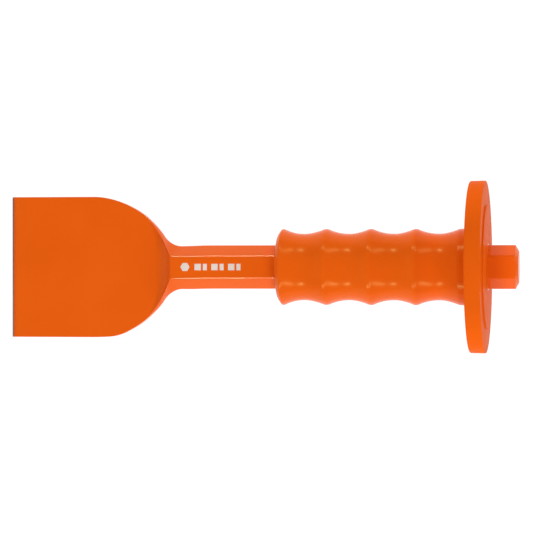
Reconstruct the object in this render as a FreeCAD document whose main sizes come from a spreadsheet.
import FreeCAD, Part
import math
import os

import Sketcher

# A guarded brick bolster: a wide-bladed chisel forged from hexagon bar, with a moulded grip
# sleeve on the bar and a round hand guard seated over the end of the sleeve.
# +X runs along the bar from the cutting edge to the striking face, +Y across the blade and +Z
# out of its face. The origin is the middle of the cutting edge. Millimetres.

SIZES = [
    ("overall_length", 254.0, "cutting edge to striking face"),
    ("blade_width", 70.0, "cutting edge, end to end"),
    ("blade_side_length", 42.0, "parallel sides, from the edge to the shoulders"),
    ("shoulder_radius", 42.0, "convex shoulder, in plan"),
    ("neck_radius", 10.0, "concave fillet from shoulder to bar, in plan"),
    ("edge_thickness", 1.0, "blade at the cutting edge"),
    ("root_thickness", 5.6, "blade at the foot of the ramp"),
    ("side_bevel", 0.3, "broken edge along the sides of the blade"),
    ("ramp_length", 8.9, "concave ramp from the blade's face up to the bar's flat"),
    ("ramp_sweep", 70.0, "degrees of arc in the ramp"),
    ("ramp_setback", 4.3, "top of the ramp to the end of the neck"),
    ("wall_slope", 2.5, "rise over run of the scoop's side walls"),
    ("crest_length", 18.0, "run-out of the bar's slanted facets along the shoulders"),
    ("crest_bulge", 2.2, "outward bow of the crest between facet and scoop"),
    ("bar_across_flats", 19.05, "hexagon bar, 3/4 inch"),
    ("bar_corner_roll", 0.25, "lost from each side corner of the bar by rolling"),
    ("head_length", 16.5, "guard to striking face"),
    ("head_chamfer_length", 2.0, "turned chamfer, along the bar, up to its corners"),
    ("head_face_diameter", 15.5, "flat struck face inside the chamfer"),
    ("grip_length", 96.2, "mouth of the sleeve to the guard"),
    ("grip_diameter", 37.5, "over the crests between the fingers"),
    ("mouth_wall", 0.6, "sleeve's thin front edge, over the bar's corners"),
    ("nose_length", 3.6, "rounded front of the sleeve"),
    ("nose_break_length", 1.2, "first, steeper part of the nose"),
    ("nose_break_rise", 4.5, "from the mouth out to where the nose turns over"),
    ("finger_count", 4.0, "finger recesses"),
    ("finger_depth", 2.35, "crest to bottom of a recess"),
    ("finger_land", 3.4, "crest between two recesses, before rounding"),
    ("first_finger", 14.5, "mouth to the first recess's bottom"),
    ("last_finger", 14.5, "last recess's bottom to the guard"),
    ("guard_thickness", 7.8, "at the rim"),
    ("guard_back_diameter", 84.5, "grip side"),
    ("guard_front_diameter", 84.8, "striking side"),
    ("guard_edge_round", 0.8, "both edges of the rim"),
    ("guard_boss_diameter", 61.0, "low raised disc on the striking side"),
    ("guard_boss_step", 0.7, "same disc, its edge above the rim"),
    ("guard_boss_height", 1.2, "same disc, at the bar, since it is slightly domed"),
    ("tail_wall", 1.0, "tail of the sleeve, inside the guard, over the bar's corners"),
]

# Places worked out from the sizes, as expressions that the features are bound to.
BAR_CORNER = "(Sizes.bar_across_flats / sqrt(3) - Sizes.bar_corner_roll)"
MOUTH_RADIUS = f"({BAR_CORNER} + Sizes.mouth_wall)"
TAIL_RADIUS = f"({BAR_CORNER} + Sizes.tail_wall)"
GUARD_FRONT = "(Sizes.overall_length - Sizes.head_length)"
GUARD_BACK = f"({GUARD_FRONT} - Sizes.guard_thickness)"
BOSS_FACE = f"({GUARD_FRONT} + Sizes.guard_boss_height)"
GRIP_START = f"({GUARD_BACK} - Sizes.grip_length)"
FIRST_VALLEY = f"({GRIP_START} + Sizes.first_finger)"
FINGER_SPAN = "(Sizes.grip_length - Sizes.first_finger - Sizes.last_finger)"
FINGER_PITCH = f"({FINGER_SPAN} / (Sizes.finger_count - 1))"
HALF_RECESS = f"(({FINGER_PITCH} - Sizes.finger_land) / 2)"
RECESS_RADIUS = f"(({HALF_RECESS}^2 + Sizes.finger_depth^2) / (2 * Sizes.finger_depth))"
CREST_ROUND = f"(0.45 * Sizes.finger_land / tan(asin({HALF_RECESS} / {RECESS_RADIUS}) / 2))"
NECK_REACH = "(Sizes.shoulder_radius + Sizes.neck_radius)"
NECK_RISE = f"({BAR_CORNER} + {NECK_REACH} - Sizes.blade_width / 2)"
NECK_END = f"(Sizes.blade_side_length + sqrt({NECK_REACH}^2 - {NECK_RISE}^2))"
HEAD_CONE_SLOPE = f"(({BAR_CORNER} - Sizes.head_face_diameter / 2) / Sizes.head_chamfer_length)"
CLEAR_OF_ALL = "Sizes.blade_width"

ALONG_X = FreeCAD.Rotation(FreeCAD.Vector(1, 1, 1), 120)  # Z to X, X to Y, Y to Z

doc = FreeCAD.newDocument("guarded_bolster")


def make_sheet():
    """The driving sizes, one row each: alias, value, meaning."""
    cells = doc.addObject("Spreadsheet::Sheet", "Sizes")
    for row, (alias, value, meaning) in enumerate(SIZES, start=1):
        cells.set(f"A{row}", alias)
        cells.set(f"B{row}", str(value))
        cells.setAlias(f"B{row}", alias)
        cells.set(f"C{row}", meaning)
    doc.recompute()
    return cells


sheet = make_sheet()


def value(expression):
    """An expression's number, with the sizes as they are."""
    result = sheet.evalExpression(expression)
    return float(getattr(result, "Value", result))


def origin_feature(body, role):
    return next(item for item in body.Origin.OriginFeatures if item.Role == role)


def new_sketch(body, name):
    """A sketch on the body's XZ plane: across is X, up is the radius."""
    sketch = body.newObject("Sketcher::SketchObject", name)
    sketch.AttachmentSupport = [(origin_feature(body, "XZ_Plane"), "")]
    sketch.MapMode = "FlatFace"
    return sketch


def bind(sketch, kind, name, expression, *where):
    """One size of a sketch, named and bound to its expression."""
    index = sketch.addConstraint(Sketcher.Constraint(kind, *where, value(expression)))
    sketch.renameConstraint(index, name)
    sketch.setExpression(f"Constraints.{name}", expression)


def outline_sketch(body, name, points):
    """A closed outline of straight lines; each point is a pair of expressions, "0" on an axis."""
    sketch = new_sketch(body, name)
    corners = [FreeCAD.Vector(value(x), value(r), 0) for x, r in points]
    lines = [
        Part.LineSegment(start, corners[(i + 1) % len(corners)])
        for i, start in enumerate(corners)
    ]
    sketch.addGeometry(lines, False)
    for i in range(len(lines)):
        follower = (i + 1) % len(lines)
        sketch.addConstraint(Sketcher.Constraint("Coincident", i, 2, follower, 1))
    for i, (x, r) in enumerate(points):
        if x == "0":
            sketch.addConstraint(Sketcher.Constraint("PointOnObject", i, 1, -2))
        else:
            bind(sketch, "DistanceX", f"along_{i}", x, -1, 1, i, 1)
        if r == "0":
            sketch.addConstraint(Sketcher.Constraint("PointOnObject", i, 1, -1))
        else:
            bind(sketch, "DistanceY", f"radius_{i}", r, -1, 1, i, 1)
    return sketch


def turned(name, points):
    """A body turned about the bar's axis from an outline."""
    body = doc.addObject("PartDesign::Body", name)
    sketch = outline_sketch(body, f"{name}_outline", points)
    turning = body.newObject("PartDesign::Revolution", f"{name}_turning")
    turning.Profile = sketch
    turning.ReferenceAxis = (sketch, ["H_Axis"])
    turning.Angle = 360
    doc.recompute()
    return body, turning


def circle_edges(shape, radius, places):
    """Names of the round edges of this radius that lie at these places along X."""
    names = []
    for index, edge in enumerate(shape.Edges, start=1):
        if not isinstance(edge.Curve, Part.Circle):
            continue
        near = any(abs(edge.Curve.Center.x - x) < 0.01 for x in places)
        if near and abs(edge.Curve.Radius - radius) < 0.01:
            names.append(f"Edge{index}")
    return names


# ---- the forging ------------------------------------------------------------------------


def plan_half_width(x):
    """Outline of blade and neck: straight side, shoulder arc, neck fillet."""
    shoulder_radius = value("Sizes.shoulder_radius")
    neck_radius = value("Sizes.neck_radius")
    side = value("Sizes.blade_side_length")
    centre = value("Sizes.blade_width") / 2 - shoulder_radius
    neck_end = value(NECK_END)
    meeting = side + (neck_end - side) * shoulder_radius / (shoulder_radius + neck_radius)
    if x <= side:
        return centre + shoulder_radius
    if x <= meeting:
        return centre + math.sqrt(shoulder_radius**2 - (x - side) ** 2)
    drop = math.sqrt(max(0.0, neck_radius**2 - (x - neck_end) ** 2))
    return value(BAR_CORNER) + neck_radius - drop


def blade_half_thickness(x, foot):
    """The blade's wedge, from the cutting edge to the foot of the ramp."""
    edge = value("Sizes.edge_thickness") / 2
    root = value("Sizes.root_thickness") / 2
    return edge + (root - edge) * min(x, foot) / foot


def ramp_height(x, foot, top):
    """Height of the concave ramp: an arc through its foot on the blade and its top on the bar."""
    low = blade_half_thickness(foot, foot)
    high = value("Sizes.bar_across_flats") / 2
    if x <= foot:
        return blade_half_thickness(x, foot)
    if x >= top:
        return high
    sweep = math.radians(value("Sizes.ramp_sweep"))
    chord = math.hypot(top - foot, high - low)
    radius = chord / (2 * math.sin(sweep / 2))
    start = math.atan2(high - low, top - foot) - sweep / 2
    centre_x = foot - radius * math.sin(start)
    centre_z = low + radius * math.cos(start)
    return centre_z - math.sqrt(radius**2 - (x - centre_x) ** 2)


def forging_corners(x):
    """A quarter of the section at x: outline edge, crest and foot of the scoop, as (y, z)."""
    neck_end = value(NECK_END)
    top = neck_end - value("Sizes.ramp_setback")
    foot = top - value("Sizes.ramp_length")
    run_out = neck_end - value("Sizes.crest_length")
    flat = value("Sizes.bar_across_flats") / 2
    bar_corner = value(BAR_CORNER)
    flat_end = flat / math.sqrt(3)
    bevel = value("Sizes.side_bevel")
    half = plan_half_width(x)
    surface = blade_half_thickness(x, foot)
    corner_land = (2 * flat_end - bar_corner) * math.sqrt(3)
    if x >= top:
        return [(half, corner_land), (flat_end, flat), (flat_end - bevel, flat)]
    if x <= run_out:
        return [(half, surface - bevel), (half - bevel, surface), (half - 2 * bevel, surface)]
    share = (x - run_out) / (top - run_out)
    crest_start = plan_half_width(run_out) - bevel
    bow = 4 * value("Sizes.crest_bulge") * share * (1 - share)
    crest = crest_start + (flat_end - crest_start) * share + bow
    crest = min(crest, half - bevel)
    crest_height = surface + (flat - surface) * share**2
    land_start = blade_half_thickness(run_out, foot) - bevel
    land = land_start + (corner_land - land_start) * share
    floor = ramp_height(x, foot, top)
    wall = max(0.0, crest_height - floor) / value("Sizes.wall_slope")
    return [(half, land), (crest, crest_height), (crest - wall - bevel, floor)]


def forging_section(x):
    """The closed section at x, the same quarter four times over."""
    quarter = forging_corners(x)
    loop = []
    for side_y, side_z in ((1, 1), (-1, 1), (-1, -1), (1, -1)):
        corners = quarter if side_y == side_z else quarter[::-1]
        loop += [FreeCAD.Vector(x, side_y * y, side_z * z) for y, z in corners]
    return Part.makePolygon(loop + loop[:1])


def make_blade():
    """Blade and neck: a skin stretched over sections, since the facets twist as they run out."""
    side = value("Sizes.blade_side_length")
    neck_end = value(NECK_END)
    top = neck_end - value("Sizes.ramp_setback")
    foot = top - value("Sizes.ramp_length")
    run_out = neck_end - value("Sizes.crest_length")
    steps = [(0.0, side, 1), (side, run_out, 10), (run_out, foot, 8), (foot, top, 6)]
    steps += [(top, neck_end, 4)]
    stations = [0.0]
    for start, end, count in steps:
        stations += [start + (end - start) * (i + 1) / count for i in range(count)]
    blade = doc.addObject("Part::Feature", "blade_and_neck")
    blade.Shape = Part.makeLoft([forging_section(x) for x in stations], True, True)
    return blade


def make_bar():
    """The hexagon bar from the neck to the striking end, its side corners rolled off."""
    prism = doc.addObject("Part::Prism", "hexagon")
    prism.Polygon = 6
    prism.setExpression("Circumradius", "Sizes.bar_across_flats / sqrt(3)")
    prism.setExpression("Height", f"Sizes.overall_length - {NECK_END}")
    prism.Placement = FreeCAD.Placement(FreeCAD.Vector(0, 0, 0), ALONG_X)
    prism.setExpression("Placement.Base.x", NECK_END)
    rolls = doc.addObject("Part::Box", "corner_rolls")
    rolls.setExpression("Length", "Sizes.overall_length")
    rolls.setExpression("Width", f"2 * {BAR_CORNER}")
    rolls.setExpression("Height", CLEAR_OF_ALL)
    rolls.setExpression("Placement.Base.y", f"-{BAR_CORNER}")
    rolls.setExpression("Placement.Base.z", f"-{CLEAR_OF_ALL} / 2")
    bar = doc.addObject("Part::Common", "bar")
    bar.Base = prism
    bar.Tool = rolls
    return bar


def make_chisel(bar):
    """The whole forging, its striking end turned to a blunt cone."""
    whole = doc.addObject("Part::Fuse", "forging_blank")
    whole.Base = make_blade()
    whole.Tool = bar
    cone_start = (
        f"(Sizes.overall_length - ({CLEAR_OF_ALL} - Sizes.head_face_diameter / 2)"
        f" / {HEAD_CONE_SLOPE})"
    )
    turning, _ = turned(
        "head_turning",
        [
            ("0", "0"),
            ("0", CLEAR_OF_ALL),
            (cone_start, CLEAR_OF_ALL),
            ("Sizes.overall_length", "Sizes.head_face_diameter / 2"),
            ("Sizes.overall_length", "0"),
        ],
    )
    chisel = doc.addObject("Part::Common", "chisel")
    chisel.Base = whole
    chisel.Tool = turning
    chisel.Refine = True
    return chisel


# ---- the grip sleeve --------------------------------------------------------------------


def make_barrel():
    """The sleeve before its bore: nose, barrel and tail, with the finger recesses."""
    barrel, turning = turned(
        "barrel",
        [
            (GRIP_START, "0"),
            (GRIP_START, MOUTH_RADIUS),
            (f"{GRIP_START} + Sizes.nose_break_length", f"{MOUTH_RADIUS} + Sizes.nose_break_rise"),
            (f"{GRIP_START} + Sizes.nose_length", "Sizes.grip_diameter / 2"),
            (GUARD_BACK, "Sizes.grip_diameter / 2"),
            (GUARD_BACK, TAIL_RADIUS),
            (BOSS_FACE, TAIL_RADIUS),
            (BOSS_FACE, "0"),
        ],
    )
    uncut_volume = turning.Shape.Volume
    sketch = new_sketch(barrel, "recess_outline")
    centre = FreeCAD.Vector(value(FIRST_VALLEY), value(f"Sizes.grip_diameter / 2 + {RECESS_RADIUS}"), 0)
    sketch.addGeometry(Part.Circle(centre, FreeCAD.Vector(0, 0, 1), value(RECESS_RADIUS)), False)
    bind(sketch, "Radius", "sweep", RECESS_RADIUS, 0)
    bind(sketch, "DistanceX", "first", FIRST_VALLEY, -1, 1, 0, 3)
    lift = f"Sizes.grip_diameter / 2 - Sizes.finger_depth + {RECESS_RADIUS}"
    bind(sketch, "DistanceY", "lift", lift, -1, 1, 0, 3)
    groove = barrel.newObject("PartDesign::Groove", "recess")
    groove.Profile = sketch
    groove.ReferenceAxis = (sketch, ["H_Axis"])
    groove.Angle = 360
    doc.recompute()
    row = barrel.newObject("PartDesign::LinearPattern", "recess_row")
    row.Originals = [groove]
    row.Direction = (origin_feature(barrel, "X_Axis"), [""])
    row.setExpression("Length", FINGER_SPAN)
    row.setExpression("Occurrences", "Sizes.finger_count")
    barrel.Tip = row
    doc.recompute()
    if not row.Shape.Volume < groove.Shape.Volume < uncut_volume:
        raise RuntimeError("a finger recess cuts nothing")
    round_crests(barrel, row)
    return barrel


def round_crests(barrel, row):
    """Rounds the crests between the recesses, and the one before the guard."""
    pitch = value(FINGER_PITCH)
    half = value(HALF_RECESS)
    first = value(FIRST_VALLEY)
    count = round(value("Sizes.finger_count"))
    places = [first + i * pitch + half for i in range(count)]
    places += [first + i * pitch - half for i in range(1, count)]
    crests = barrel.newObject("PartDesign::Fillet", "crest_rounding")
    radius = value("Sizes.grip_diameter / 2")
    crests.Base = (row, circle_edges(row.Shape, radius, places))
    crests.setExpression("Radius", CREST_ROUND)
    barrel.Tip = crests
    doc.recompute()


def make_grip(bar):
    """The sleeve is moulded onto the bar, so its bore is the bar itself."""
    grip = doc.addObject("Part::Cut", "grip_sleeve")
    grip.Base = make_barrel()
    grip.Tool = bar
    return grip


# ---- the guard --------------------------------------------------------------------------


def make_guard():
    """A round plate with a low domed boss facing the hammer, bored for the sleeve's tail."""
    guard, turning = turned(
        "hand_guard",
        [
            (GUARD_BACK, TAIL_RADIUS),
            (GUARD_BACK, "Sizes.guard_back_diameter / 2"),
            (GUARD_FRONT, "Sizes.guard_front_diameter / 2"),
            (GUARD_FRONT, "Sizes.guard_boss_diameter / 2"),
            (f"{GUARD_FRONT} + Sizes.guard_boss_step", "Sizes.guard_boss_diameter / 2"),
            (BOSS_FACE, TAIL_RADIUS),
        ],
    )
    back = circle_edges(turning.Shape, value("Sizes.guard_back_diameter / 2"), [value(GUARD_BACK)])
    front = circle_edges(turning.Shape, value("Sizes.guard_front_diameter / 2"), [value(GUARD_FRONT)])
    rim = guard.newObject("PartDesign::Fillet", "rim_rounding")
    rim.Base = (turning, back + front)
    rim.setExpression("Radius", "Sizes.guard_edge_round")
    guard.Tip = rim
    doc.recompute()
    return guard


def write_parts(nodes):
    """Refuses a failed document or solid, then writes one file for each sub-part."""
    failed = [o.Name for o in doc.Objects if {"Invalid", "Error"} & set(o.State)]
    if failed:
        raise RuntimeError(f"failed objects: {failed}")
    for node in nodes:
        if node.Shape.isNull() or not node.Shape.isValid() or len(node.Shape.Solids) != 1:
            raise RuntimeError(f"{node.Label} is not one valid solid")
    os.makedirs("parts", exist_ok=True)
    for node in nodes:
        node.Shape.exportStep(f"parts/{node.Label}.step")
        box = node.Shape.BoundBox
        print(f"{node.Label}: {node.Shape.Volume / 1000:.2f} cm3, x {box.XMin:.1f} to {box.XMax:.1f}")


bar = make_bar()
sub_parts = [make_chisel(bar), make_grip(bar), make_guard()]
doc.recompute()
write_parts(sub_parts)
